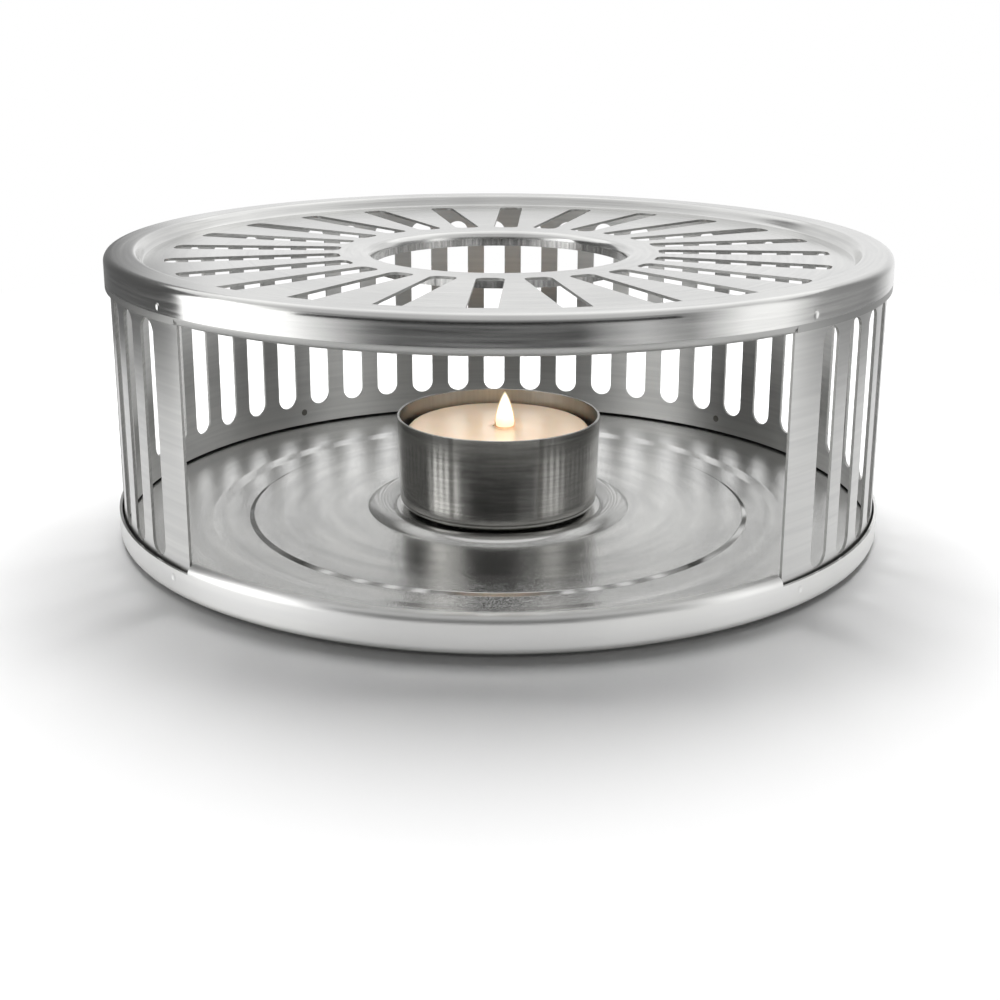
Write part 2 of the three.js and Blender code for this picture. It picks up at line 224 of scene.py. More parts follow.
def new_material(name):
    """An empty node material with its output."""
    material = bpy.data.materials.new(name)
    material.use_nodes = True
    tree = material.node_tree
    tree.nodes.clear()
    return material, tree, add(tree, "OutputMaterial")


def dress(piece, material):
    """Puts one material all over a piece."""
    piece.data.materials.clear()
    piece.data.materials.append(material)


def dress_faces(piece, material, wanted):
    """Puts another material on the faces that a test of their middle and normal picks."""
    piece.data.materials.append(material)
    for face in piece.data.polygons:
        if wanted(face.center / MM, face.normal):
            face.material_index = len(piece.data.materials) - 1


# Clouds in the tone of sheet steel, its slight waves, and the pits of an unpolished skin, all in mm
CLOUD_MM = 28
WAVE_MM, WAVE_DEPTH = 14, 0.02
PIT_MM = 0.25


def brushed_metal(name, dark, light, rough, grain_mm, streak_mm, stretch, radius_mm=BODY_R, pitted=0):
    """Metal brushed round its own axis: rings of tone and gloss, and highlights drawn across them.

    A line is grain_mm wide and about streak_mm long at this radius, and pits are pitted mm deep.
    """
    material, tree, output = new_material(name)
    place = add(tree, "TexCoord").outputs["Object"]
    flat = add(tree, "VectorMath", {0: place, 1: (1, 1, 0)}, operation="MULTIPLY").outputs[0]
    radius = add(tree, "VectorMath", {0: flat}, operation="LENGTH").outputs["Value"]
    outward = add(tree, "VectorMath", {0: flat}, operation="NORMALIZE").outputs[0]
    height = add(tree, "SeparateXYZ", {0: place}).outputs["Z"]
    along = add(
        tree, "VectorMath", {0: outward, "Scale": radius_mm / streak_mm}, operation="SCALE",
    ).outputs[0]
    split = add(tree, "SeparateXYZ", {0: along})
    sheet = add(tree, "Math", {0: radius, 1: height}, operation="ADD").outputs[0]
    across = add(tree, "Math", {0: sheet, 1: 1 / (grain_mm * MM)}, operation="MULTIPLY").outputs[0]
    ring = add(tree, "CombineXYZ", {0: split.outputs["X"], 1: split.outputs["Y"], 2: across})
    grain = add(
        tree, "TexNoise", {"Vector": ring.outputs[0], "Scale": 1, "Detail": 1, "Roughness": 0.5},
    ).outputs["Fac"]
    cloud = add(
        tree, "TexNoise", {"Vector": place, "Scale": 1 / (CLOUD_MM * MM), "Detail": 2},
    ).outputs["Fac"]
    tone = add(tree, "Math", {0: grain, 1: cloud}, operation="ADD").outputs[0]
    share = add(tree, "MapRange", {0: tone, 1: 0.7, 2: 1.3, 3: 0, 4: 1}).outputs[0]
    colour = add(
        tree, "Mix", {0: share, 6: linear(dark), 7: linear(light)}, data_type="RGBA",
    ).outputs[2]
    gloss = add(tree, "MapRange", {0: grain, 1: 0.3, 2: 0.7, 3: rough[0], 4: rough[1]}).outputs[0]
    wave = add(
        tree, "TexNoise", {"Vector": place, "Scale": 1 / (WAVE_MM * MM), "Detail": 0},
    ).outputs["Fac"]
    surface = add(
        tree, "Bump", {"Strength": 0.5, "Distance": WAVE_DEPTH * MM, "Height": wave},
    ).outputs[0]
    if pitted:
        pits = add(
            tree, "TexNoise", {"Vector": place, "Scale": 1 / (PIT_MM * MM), "Detail": 1},
        ).outputs["Fac"]
        surface = add(
            tree, "Bump", {"Strength": 1, "Distance": pitted * MM, "Height": pits, "Normal": surface},
        ).outputs[0]
    around = add(
        tree, "VectorMath", {0: (0, 0, 1), 1: outward}, operation="CROSS_PRODUCT",
    ).outputs[0]
    metal = add(tree, "BsdfPrincipled", {
        "Base Color": colour, "Metallic": 1, "Roughness": gloss, "Anisotropic": stretch,
        "Anisotropic Rotation": 0.25, "Tangent": around, "Normal": surface,
    })
    tree.links.new(metal.outputs[0], output.inputs["Surface"])
    return material


# Stainless sheet as it left the press: pale, with faint wide rings and a pitted skin that blurs what it
# mirrors. The real lines and pits, a few hundredths of a mm across, are too fine to show, so the rings
# are drawn 3 mm wide and the pits 0.25 mm. The lines of the other steels are drawn coarser too.
tray_steel = brushed_metal(
    "brushed stainless tray", "#DADAD9", "#F2F2F0", (0.15, 0.16), 3, 40, 0.1, pitted=0.05,
)
dress(tray, tray_steel)
# The foot ring's inner flank, burnished where the sheet was drawn over the die: it mirrors sharply
FLANK_FROM, FLANK_TO = 48, 51
burnished = brushed_metal("burnished stainless flank", "#C4C4C3", "#CCCCCA", (0.12, 0.14), 3, 40, 0)
dress_faces(
    tray, burnished,
    lambda middle, normal: FLANK_FROM < middle.xy.length < FLANK_TO and 0.5 < normal.z < 0.99,
)
# The bead, smoother than the floor since the sheet was stretched there: soft bright crescents
stretched = brushed_metal("stretched stainless bead", "#D2D2D1", "#E0E0DE", (0.24, 0.26), 3, 40, 0)
dress_faces(
    tray, stretched,
    lambda middle, normal: BEAD_IN < middle.xy.length < BEAD_OUT and normal.z > 0.3,
)
# The crease under the wall: a thin dark line round the floor, painted shade where the floor meets the
# wall
CREASE_R, CREASE_TOP = 73.55, 2.5
crease_painted_shade = brushed_metal("stainless crease painted shade", "#343433", "#454443", (0.5, 0.6), 3, 40, 0)
dress_faces(
    tray, crease_painted_shade,
    lambda middle, normal: middle.xy.length > CREASE_R and middle.z < CREASE_TOP and normal.z > 0.05
    and abs(math.atan2(middle.x, -middle.y)) > math.radians(CURL_HALF + 0.5),
)
# The rim's outside and its roll, brushed once more with a coarser belt: light spreads far up and down
RIM_SKIN_R = 74.5
satin_rim = brushed_metal("satin brushed tray rim", "#E0E0DF", "#E7E7E5", (0.34, 0.37), 2, 30, 0.8)
dress_faces(
    tray, satin_rim,
    lambda middle, normal: middle.z > RIM_TOP or middle.xy.length > RIM_SKIN_R and abs(normal.z) < 0.5,
)
tray.name = tray.data.name = "tray"
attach(tray, "stand")
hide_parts("base_tray")

# Slotted wall. A strip of the same sheet, punched with a row of upright slots that have full-round
# ends, bent to a C and stood inside both rims, where spot welds hold it. Its plain end panels frame
# the front opening.
WALL_R = 73.85
WALL_LOW, WALL_HIGH = 1.35, 54
OPEN_HALF = 42.4
SLOT_COUNT = 38
SLOT_W = 5.1
SLOT_LOW, SLOT_HIGH = 5.9, 48.3
FIRST_SLOT = 50.48
SLOT_PITCH = 2 * (180 - FIRST_SLOT) / (SLOT_COUNT - 1)
PUNCH_DEPTH = 8
INSIDE_R = WALL_R - SHEET / 2
INSIDE_MARK_Z = 4.3

wall = spun(
    "wall_strip", [(WALL_R, WALL_LOW), (WALL_R, 27), (WALL_R, WALL_HIGH)],
    OPEN_HALF, 360 - 2 * OPEN_HALF, round_steps=288,
)
thicken(wall, SHEET)

# The punch: a round rod laid across the sheet, its upper half drawn up, then copied along the strip
start_fresh()
end_r = SLOT_W / 2
bpy.ops.mesh.primitive_cylinder_add(vertices=40, radius=end_r * MM, depth=PUNCH_DEPTH * MM)
slot_row = bpy.context.object
slot_row.data.transform(Matrix.Rotation(math.pi / 2, 4, "X"))
bpy.ops.object.mode_set(mode="EDIT")
bpy.ops.mesh.select_all(action="DESELECT")
bpy.ops.object.mode_set(mode="OBJECT")
for corner in slot_row.data.vertices:
    corner.select = corner.co.z > 0.0001 * MM
bpy.ops.object.mode_set(mode="EDIT")
bpy.ops.transform.translate(value=(0, 0, (SLOT_HIGH - SLOT_LOW - SLOT_W) * MM))
bpy.ops.object.mode_set(mode="OBJECT")
slot_row.data.transform(Matrix.Translation((0, -WALL_R * MM, (SLOT_LOW + end_r) * MM)))
slot_row.data.transform(Matrix.Rotation(math.radians(FIRST_SLOT), 4, "Z"))
bpy.ops.object.mode_set(mode="EDIT")
bpy.ops.mesh.select_all(action="SELECT")
bpy.ops.mesh.spin(
    steps=SLOT_COUNT - 1, dupli=True, angle=-math.radians(SLOT_PITCH * (SLOT_COUNT - 1)),
    center=(0, 0, 0), axis=(0, 0, 1),
)
bpy.ops.object.mode_set(mode="OBJECT")
cut(wall, slot_row)
cut(wall, weld_marks(INSIDE_MARK_Z, INSIDE_R - MARK_R + MARK_DEPTH))
smooth(wall)


def mirror_evenly(piece, radii):
    """Gives a punched round sheet the normals of a true cylinder on both its sides."""
    mesh = piece.data
    normals = [corner.vector.copy() for corner in mesh.corner_normals]
    for face in mesh.polygons:
        for i in face.loop_indices:
            corner = mesh.vertices[mesh.loops[i].vertex_index].co
            outward = Vector((corner.x, corner.y, 0)).normalized()
            side = face.normal.dot(outward)
            on_sheet = min(abs(corner.xy.length / MM - r) for r in radii) < 0.01
            if on_sheet and abs(side) > 0.98:
                normals[i] = outward * math.copysign(1, side)
    mesh.normals_split_custom_set(normals)


mirror_evenly(wall, (INSIDE_R, WALL_R + SHEET / 2))
# Stainless strip with the dull finish of the mill: grey, its lines along the strip drawn 0.8 mm wide
wall_steel = brushed_metal(
    "dull rolled stainless wall", "#BFBFBE", "#CECECC", (0.285, 0.3), 0.8, 40, 0.4,
)
dress(wall, wall_steel)
# Sheared edges of the slots, left rough by the punch; their darker tone is painted shade across the
# sheet's thickness
sheared_steel_painted_shade = brushed_metal("sheared stainless edge with painted shade", "#A0A09E", "#BCBCBA", (0.4, 0.5), 0.5, 1, 0)


def is_wall_edge(middle, normal):
    """A face across the sheet: its normal doesn't point to or from the axis."""
    outward = Vector((middle.x, middle.y, 0)).normalized()
    return abs(normal.dot(outward)) < 0.5


dress_faces(wall, sheared_steel_painted_shade, is_wall_edge)
# Electrode marks inside the wall, tinted dark by the heat of the weld
weld_steel = brushed_metal("dull weld steel", "#6E6C68", "#8A8782", (0.45, 0.6), 0.5, 4, 0)
dress_faces(
    wall, weld_steel,
    lambda middle, normal: abs(middle.z - INSIDE_MARK_Z) < 1
    and 0.005 < middle.xy.length - INSIDE_R < 0.2,
)
wall.name = wall.data.name = "wall"
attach(wall, "stand")
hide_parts("slotted_wall")

# Top grille. A second disc of the same sheet, pressed to a skirt, a raised rim that keeps the pot in
# place and a sunk plate. The plate is punched with radial slots round a centre hole whose edge is
# turned down to a flange. The skirt's edge is rolled inwards across the front, like the tray's.
BODY_H, PLATE_Z = 55, 52.8
TOP_LINE_Z = BODY_H - SHEET / 2
PLATE_LINE_Z = PLATE_Z - SHEET / 2
SKIRT_LOW = 48.8
SKIRT_ROLL_Z = 50.05
GRILLE_ROUND = 1.25
STEP_OUT, STEP_IN = 69.6, 67.9
FLANGE_R = 25
HUB_ROUND = 1.35
FLANGE_LOW = 49.8
GRILLE_SLOTS = 24
GRILLE_SLOT_W = 5.1
GRILLE_SLOT_ROUND = 1.6
GRILLE_SLOT_IN, GRILLE_SLOT_OUT = 31.15, 64
GRILLE_MARK_Z = 51.15
ROLL_FROM_R = 71


def soft_step(r_from, r_to, z_from, z_to, steps):
    """Profile of a pressed step from one level to another, a drawn-out S."""
    shares = [i / steps for i in range(steps + 1)]
    return [
        (r_from + (r_to - r_from) * t, z_from + (z_to - z_from) * (t * t * (3 - 2 * t))) for t in shares
    ]


grille_profile = [
    (RIM_LINE_R, SKIRT_ROLL_Z), (RIM_LINE_R, 51.6), (RIM_LINE_R, 53.2),
    *arc(RIM_LINE_R - GRILLE_ROUND, TOP_LINE_Z - GRILLE_ROUND, GRILLE_ROUND, 0, 90, 8),
    (73.2, TOP_LINE_Z), (71.5, TOP_LINE_Z), (69.9, TOP_LINE_Z),
    *soft_step(STEP_OUT, STEP_IN, TOP_LINE_Z, PLATE_LINE_Z, 10),
    (67.6, PLATE_LINE_Z), (66, PLATE_LINE_Z), (48, PLATE_LINE_Z), (28.5, PLATE_LINE_Z),
    (26.7, PLATE_LINE_Z),
    *arc(FLANGE_R + HUB_ROUND, PLATE_LINE_Z - HUB_ROUND, HUB_ROUND, 90, 180, 8),
    (FLANGE_R, 50.5), (FLANGE_R, FLANGE_LOW),
]
skirt_edge = [(RIM_LINE_R, SKIRT_ROLL_Z), (RIM_LINE_R, SKIRT_LOW)]
skirt_curl = arc(RIM_LINE_R - CURL_LINE_R, SKIRT_ROLL_Z, CURL_LINE_R, 0, -CURL_TURN, 16)
grille = joined(
    spun("grille_pressing", grille_profile, -CURL_HALF),
    spun("skirt_edge", skirt_edge, CURL_HALF, 360 - 2 * CURL_HALF),
    spun("skirt_roll", skirt_curl, -CURL_HALF, 2 * CURL_HALF),
)
thicken(grille, SHEET)

# The punch: a block with rounded upright edges, copied round the plate
start_fresh()
slot_length = GRILLE_SLOT_OUT - GRILLE_SLOT_IN
bpy.ops.mesh.primitive_cube_add(size=1)
grille_slots = bpy.context.object
grille_slots.data.transform(Matrix.Diagonal((GRILLE_SLOT_W * MM, slot_length * MM, 4 * MM, 1)))
grille_slots.data.transform(Matrix.Translation(
    (0, -(GRILLE_SLOT_IN + GRILLE_SLOT_OUT) / 2 * MM, PLATE_LINE_Z * MM),
))
bpy.ops.object.mode_set(mode="EDIT")
bpy.ops.mesh.select_all(action="DESELECT")
bpy.ops.object.mode_set(mode="OBJECT")
for edge in grille_slots.data.edges:
    ends = [grille_slots.data.vertices[i].co for i in edge.vertices]
    edge.select = abs(ends[0].z - ends[1].z) > MM
bpy.ops.object.mode_set(mode="EDIT")
bpy.ops.mesh.bevel(offset=GRILLE_SLOT_ROUND * MM, segments=6, affect="EDGES")
bpy.ops.mesh.select_all(action="SELECT")
bpy.ops.mesh.spin(
    steps=GRILLE_SLOTS - 1, dupli=True, angle=math.radians(360 / GRILLE_SLOTS * (GRILLE_SLOTS - 1)),
    center=(0, 0, 0), axis=(0, 0, 1),
)
bpy.ops.object.mode_set(mode="OBJECT")
cut(grille, grille_slots)
cut(grille, weld_marks(GRILLE_MARK_Z, OUTSIDE_REACH))
smooth(grille)
# Stainless brushed on a turntable: rings, drawn 0.7 mm wide, that pull each light into a fan
grille_steel = brushed_metal(
    "brushed stainless grille", "#C0C0BF", "#D8D8D6", (0.15, 0.23), 0.7, 22, 0.8,
)
dress(grille, grille_steel)
# The grille's slot edges take the same rough steel, with its painted shade
dress_faces(
    grille, sheared_steel_painted_shade,
    lambda middle, normal: abs(normal.z) < 0.3
    and GRILLE_SLOT_IN - 1 < middle.xy.length < GRILLE_SLOT_OUT + 1,
)
# The skirt's roll, dulled by the rolling tool: the light from the table spreads over it. Its darker
# tone is painted shade on the roll's underside
dulled_roll_painted_shade = brushed_metal("dulled stainless roll with painted shade", "#A6A6A5", "#B2B2B0", (0.36, 0.4), 2, 30, 0.3)
dress_faces(
    grille, dulled_roll_painted_shade,
    lambda middle, normal: middle.z < SKIRT_ROLL_Z and middle.xy.length > ROLL_FROM_R
    and normal.z < 0.2,
)
# The flange's inside, scored upright where the drawing punch passed through the hole: it glitters. Its
# darker tone is painted shade inside the hole
scored_steel_painted_shade = brushed_metal(
    "punch-scored stainless flange with painted shade", "#9A9A99", "#DCDCDA", (0.21, 0.26), 5, 0.55, 0, radius_mm=FLANGE_R,
)
dress_faces(
    grille, scored_steel_painted_shade,
    lambda middle, normal: abs(normal.z) < 0.5 and middle.xy.length < FLANGE_R + 1
    and middle.z < PLATE_LINE_Z - HUB_ROUND,
)
grille.name = grille.data.name = "grille"
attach(grille, "stand")
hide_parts("top_grille")

# Spot welds. The steel that melted together between the wall and each rim; only their edges can be
# glimpsed in the gap. They stay as built, in a heat-tinted dull steel.
for name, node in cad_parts.items():
    if name.startswith("weld_"):
        dress(node, weld_steel)

# Candle cup. Deep-drawn from the same sheet and turned, so its grain runs round the wall and draws
# the light into upright bands. It stands loose inside the tray's bead.
CUP_Z = 1.2
CUP_H = 18.6
CUP_SHEET = 0.5
CUP_R = 20
CUP_LINE_Z = CUP_Z + CUP_SHEET / 2
CUP_FOOT_LINE_R = 19.65
CUP_MOUTH_LINE_R = 20.15
CUP_CORNER = 1.55
CUP_EDGE = 0.12

corner_r = CUP_FOOT_LINE_R - CUP_CORNER
cup_profile = [
    (0, CUP_LINE_Z), (6, CUP_LINE_Z), (14, CUP_LINE_Z), (corner_r - 0.3, CUP_LINE_Z),
    *arc(corner_r, CUP_LINE_Z + CUP_CORNER, CUP_CORNER, -90, 0, 12),
    (CUP_FOOT_LINE_R + 0.18, 8), (CUP_FOOT_LINE_R + 0.34, 14), (CUP_MOUTH_LINE_R, CUP_Z + CUP_H - 0.1),
]
cup = spun("cup", cup_profile, round_steps=160)
thicken(cup, CUP_SHEET)
apply_modifier(
    cup, "BEVEL", width=CUP_EDGE * MM, segments=2, limit_method="ANGLE", angle_limit=math.radians(50),
    use_clamp_overlap=False,
)
smooth(cup)
# Turned stainless: lines round the wall, drawn 0.5 mm wide, that draw the light into upright bands
cup_steel = brushed_metal(
    "turned stainless cup", "#A6A5A2", "#BCBBB8", (0.12, 0.16), 0.5, 12, 0.8, radius_mm=CUP_R,
)
dress(cup, cup_steel)
# The cup's inside, left dull and faintly lined by the drawing: it takes a soft glow from the wax
CUP_INSIDE_LOW = 4
dull_cup = brushed_metal(
    "dull drawn stainless", "#AAA9A5", "#B8B7B2", (0.3, 0.34), 9, 0.6, 0, radius_mm=CUP_R,
)
dress_faces(
    cup, dull_cup,
    lambda middle, normal: middle.z > CUP_INSIDE_LOW and normal.xy.dot(middle.xy) < 0
    and abs(normal.z) < 0.5,
)
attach(cup, "candle_cup")
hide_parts("candle_cup")

# Tealight can. Thin aluminium sheet, drawn to a shallow pot that the wax is cast in. It stands loose in
# the cup, which hides it apart from a hair of its edge.
CAN_Z = 2
CAN_SHEET = 0.28
CAN_LINE_R = 18.65
CAN_LINE_Z = CAN_Z + 0.15
CAN_CORNER = 1.45
CAN_TOP = CAN_Z + 14.1

can_profile = [
    (0, CAN_LINE_Z), (12, CAN_LINE_Z), (17, CAN_LINE_Z),
    *arc(CAN_LINE_R - CAN_CORNER, CAN_LINE_Z + CAN_CORNER, CAN_CORNER, -90, 0, 6),
    (CAN_LINE_R, 10), (CAN_LINE_R, CAN_TOP),
]
can = spun("can", can_profile, round_steps=120)
thicken(can, CAN_SHEET)
smooth(can)
# Bright drawn aluminium: pale and near mirror-like, with faint drawing lines drawn 0.4 mm wide
can_metal = brushed_metal(
    "bright drawn aluminium", "#CFCFD0", "#E4E4E4", (0.16, 0.26), 0.4, 6, 0.3, radius_mm=19,
)
dress(can, can_metal)
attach(can, "tealight")
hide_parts("tealight_can")

# Wax. Paraffin cast in the can, with a soft round edge and a shallow pool that the flame has melted
# round the wick. A hole takes the wick, and a hollow underneath takes its sustainer.
WAX_TOP, WAX_LOW = 17.3, 2.6
WAX_R = 18.28
WAX_ROUND_IN, WAX_ROUND = 17.1, 1.18
POOL_R, POOL_DIP = 17, 0.26
POOL_STEP, POOL_STEPS = 0.7, 22
WICK_HOLE_R = 1.05
COLLAR_R, COLLAR_TOP = 1.65, 6.2
DISC_R, DISC_TOP = 6.2, 3.2

pool_radii = [POOL_R - POOL_STEP * i for i in range(1, POOL_STEPS + 1)]
pool = [(r, POOL_DIP * (1 - (r / POOL_R) ** 2) ** 2) for r in pool_radii]
pool += [(1.3, 0.2), (WICK_HOLE_R, 0.1)]
wax_profile = [
    (DISC_R, WAX_LOW), (16.7, WAX_LOW), (WAX_R, 4.2), (WAX_R, 10), (WAX_R, WAX_TOP - 1.4),
    *arc(WAX_ROUND_IN, WAX_TOP - 1.2, WAX_ROUND, 0, 90, 8),
    *((r, WAX_TOP - dip) for r, dip in pool),
    (WICK_HOLE_R, COLLAR_TOP), (COLLAR_R, COLLAR_TOP), (COLLAR_R, DISC_TOP), (DISC_R, DISC_TOP),
    (DISC_R, WAX_LOW),
]
wax = spun("wax", wax_profile, round_steps=120)
smooth(wax)
# Paraffin, warm white: light sinks in and glows through it, and it is wet and shiny near the wick
MOTTLE_MM, RIPPLE_MM = 9, 4
material, tree, output = new_material("paraffin wax")
place = add(tree, "TexCoord").outputs["Object"]
mottle = add(
    tree, "TexNoise", {"Vector": place, "Scale": 1 / (MOTTLE_MM * MM), "Detail": 1},
).outputs["Fac"]
ripple = add(
    tree, "TexNoise", {"Vector": place, "Scale": 1 / (RIPPLE_MM * MM), "Detail": 0},
).outputs["Fac"]
share = add(tree, "MapRange", {0: mottle, 1: 0.3, 2: 0.7, 3: 0, 4: 1}).outputs[0]
colour = add(tree, "Mix", {0: share, 6: linear("#DCC3A8"), 7: linear("#E2CBB2")}, data_type="RGBA")
flat = add(tree, "VectorMath", {0: place, 1: (1, 1, 0)}, operation="MULTIPLY").outputs[0]
away = add(tree, "VectorMath", {0: flat}, operation="LENGTH").outputs["Value"]
gloss = add(
    tree, "MapRange", {0: away, 1: 1 * MM, 2: POOL_R * MM, 3: 0.08, 4: 0.26},
    interpolation_type="SMOOTHSTEP",
).outputs[0]
skin = add(tree, "Bump", {"Strength": 0.05, "Distance": 0.05 * MM, "Height": ripple})
body = add(tree, "BsdfPrincipled", {
    "Base Color": colour.outputs[2], "Roughness": gloss, "IOR": 1.44, "Subsurface Weight": 0.5,
    "Subsurface Radius": (1, 0.55, 0.35), "Subsurface Scale": 3 * MM, "Normal": skin.outputs[0],
})
tree.links.new(body.outputs[0], output.inputs["Surface"])
dress(wax, material)
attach(wax, "tealight")
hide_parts("tealight_wax")

# Wick and sustainer. A braided cotton wick, charred where it burns, crimped in the collar of a tinned
# disc at the bottom of the can.
# Tinned steel: grey and half dull
sustainer_metal = brushed_metal(
    "tinplate", "#A9ABAE", "#C2C4C6", (0.3, 0.42), 0.4, 5, 0, radius_mm=6,
)
dress(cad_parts["wick_sustainer"], sustainer_metal)

WICK_R = 0.75
WICK_TIP = Vector((0.85, -0.31, WAX_TOP + 2.9))
wick_line = [Vector((0, 0, z)) for z in (2.7, 6, 10, 14, WAX_TOP)]
for x, y, rise in ((0.04, -0.01, 0.6), (0.2, -0.07, 1.4), (0.47, -0.17, 2.2)):
    wick_line.append(Vector((x, y, WAX_TOP + rise)))
wick_line.append(WICK_TIP)
start_fresh()
bpy.ops.mesh.primitive_circle_add(vertices=16, radius=WICK_R * MM, fill_type="NGON", location=(0, 0, 0))
wick = bpy.context.object
wick.name = wick.data.name = "wick"
bpy.ops.object.mode_set(mode="EDIT")
bpy.ops.mesh.select_all(action="SELECT")
bpy.ops.transform.translate(value=wick_line[0] * MM)
for here, there in zip(wick_line, wick_line[1:]):
    bpy.ops.mesh.extrude_region_move(TRANSFORM_OT_translate={"value": (there - here) * MM})
bpy.ops.transform.resize(value=(0.55, 0.55, 1), center_override=WICK_TIP * MM)
bpy.ops.mesh.select_all(action="SELECT")
bpy.ops.mesh.normals_make_consistent(inside=False)
bpy.ops.object.mode_set(mode="OBJECT")
smooth(wick, 50)
# Cotton braid with strands 0.6 mm wide: straw-coloured and matt, charred black above the wax
STRAND_MM = 0.6
CHAR_FROM, CHAR_TO = WAX_TOP - 0.2, WAX_TOP + 1
material, tree, output = new_material("charred cotton")
place = add(tree, "TexCoord").outputs["Object"]
height = add(tree, "SeparateXYZ", {0: place}).outputs["Z"]
char = add(tree, "MapRange", {0: height, 1: CHAR_FROM * MM, 2: CHAR_TO * MM, 3: 0, 4: 1}).outputs[0]
braid = add(
    tree, "TexWave", {"Vector": place, "Scale": 0.5 / (STRAND_MM * MM), "Distortion": 2, "Detail": 2},
    bands_direction="DIAGONAL",
).outputs["Fac"]
cotton = add(tree, "Mix", {0: braid, 6: linear("#B9A283"), 7: linear("#DCC9A8")}, data_type="RGBA")
ash = add(tree, "Mix", {0: braid, 6: linear("#15110E"), 7: linear("#3A2E26")}, data_type="RGBA")
colour = add(tree, "Mix", {0: char, 6: cotton.outputs[2], 7: ash.outputs[2]}, data_type="RGBA")
strands = add(tree, "Bump", {"Strength": 0.5, "Distance": 0.15 * MM, "Height": braid})
body = add(tree, "BsdfPrincipled", {
    "Base Color": colour.outputs[2], "Roughness": 0.95, "Normal": strands.outputs[0],
})
tree.links.new(body.outputs[0], output.inputs["Surface"])
dress(wick, material)
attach(wick, "tealight")
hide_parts("tealight_wick")

# Flame. Burning wax vapour round the wick: a white-hot core in a thin yellow envelope. It has no
# substance, so it is two glowing shells that ride with the tealight.
FLAME_X, FLAME_Y = 1.3, -0.4
FLAME_BASE, FLAME_TIP = WAX_TOP - 0.1, 24.4


def flame_shell(name, width, low, high, colours, strength, solid):
    """A drop-shaped shell whose glow changes colour from base to tip and is thinner at the base."""
    shares = [i / 24 for i in range(25)]
    profile = [
        (width * (1 - t ** 1.55) ** 0.8 * min(1, 0.9 + 0.8 * t), low + (high - low) * t) for t in shares
    ]
    shell = spun(name, [(0, low), *profile], round_steps=32)
    shell.data.transform(Matrix.Translation((FLAME_X * MM, FLAME_Y * MM, 0)))
    smooth(shell, 80)
    material, tree, output = new_material(name.replace("_", " "))
    place = add(tree, "TexCoord").outputs["Object"]
    height = add(tree, "SeparateXYZ", {0: place}).outputs["Z"]
    rise = add(tree, "MapRange", {0: height, 1: low * MM, 2: high * MM, 3: 0, 4: 1}).outputs[0]
    ramp = add(tree, "ValToRGB", {0: rise})
    while len(ramp.color_ramp.elements) < len(colours):
        ramp.color_ramp.elements.new(0.5)
    for element, (spot, code) in zip(ramp.color_ramp.elements, colours):
        element.position = spot
        element.color = linear(code)
    glow = add(tree, "Emission", {"Color": ramp.outputs["Color"], "Strength": strength})
    clear = add(tree, "BsdfTransparent")
    dense = add(tree, "MapRange", {0: rise, 1: 0, 2: 0.35, 3: solid[0], 4: solid[1]}).outputs[0]
    mixed = add(tree, "MixShader", {0: dense, 1: clear.outputs[0], 2: glow.outputs[0]})
    tree.links.new(mixed.outputs[0], output.inputs["Surface"])
    dress(shell, material)
    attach(shell, "tealight")
    return shell


flame_shell(
    "flame_envelope", 2.25, FLAME_BASE, FLAME_TIP,
    [(0, "#F3B78E"), (0.3, "#FFD09A"), (0.7, "#FFE3A8"), (1, "#FFF0C8")], 1, (0.3, 0.5),
)
flame_shell(
    "flame_core", 1.95, FLAME_BASE + 0.2, FLAME_TIP - 0.4,
    [(0, "#F8CFA8"), (0.2, "#FFEFC8"), (0.4, "#FFFFF4"), (1, "#FFFFF0")], 2.5, (0.7, 0.98),
)

# Floor. A matt white table that keeps the shadow near the warmer, and fades to plain white
# further out. What the metal mirrors of it is nearly plain white from just outside the foot on, apart
# from the shadow in front.
TABLE_R, TABLE_Z = 3, -0.0001
FADE_FROM, FADE_TO = 136, 294
CLEAN_FROM, CLEAN_TO = 73.5, 84
SHADOW_FROM, SHADOW_TO = -105, -92

start_fresh()
bpy.ops.mesh.primitive_circle_add(
    vertices=96, radius=TABLE_R, fill_type="NGON", location=(0, 0, TABLE_Z),
)
floor = bpy.context.object
floor.name = "floor"


def seen_rays(tree):
    """1 for what is seen straight, mirrored or through something clear, and the light path itself."""
    path = add(tree, "LightPath")
    shown = add(
        tree, "Math", {0: path.outputs["Is Camera Ray"], 1: path.outputs["Is Glossy Ray"]},
        operation="ADD",
    ).outputs[0]
    seen = add(tree, "Math", {0: shown, 1: path.outputs["Is Transmission Ray"]}, operation="ADD")
    return seen.outputs[0], path


material, tree, output = new_material("white table")
place = add(tree, "TexCoord").outputs["Object"]
away = add(tree, "VectorMath", {0: place}, operation="LENGTH").outputs["Value"]
fade = add(tree, "MapRange", {0: away, 1: FADE_FROM * MM, 2: FADE_TO * MM, 3: 0, 4: 1}).outputs[0]
seen, path = seen_rays(tree)
table = add(tree, "BsdfDiffuse", {"Color": linear("#F4F4F4")})
plain = add(tree, "Emission", {"Color": linear("#FFFFFF"), "Strength": seen})
clear = add(
    tree, "MapRange", {0: away, 1: CLEAN_FROM * MM, 2: CLEAN_TO * MM, 3: 0, 4: 0.95},
).outputs[0]
depth = add(tree, "SeparateXYZ", {0: place}).outputs["Y"]
ahead = add(
    tree, "MapRange", {0: depth, 1: SHADOW_FROM * MM, 2: SHADOW_TO * MM, 3: 0.3, 4: 1},
).outputs[0]
clear = add(tree, "Math", {0: clear, 1: ahead}, operation="MULTIPLY").outputs[0]
clean = add(tree, "Math", {0: path.outputs["Is Glossy Ray"], 1: clear}, operation="MULTIPLY").outputs[0]
fade = add(tree, "Math", {0: fade, 1: clean}, operation="MAXIMUM").outputs[0]
mixed = add(tree, "MixShader", {0: fade, 1: table.outputs[0], 2: plain.outputs[0]})
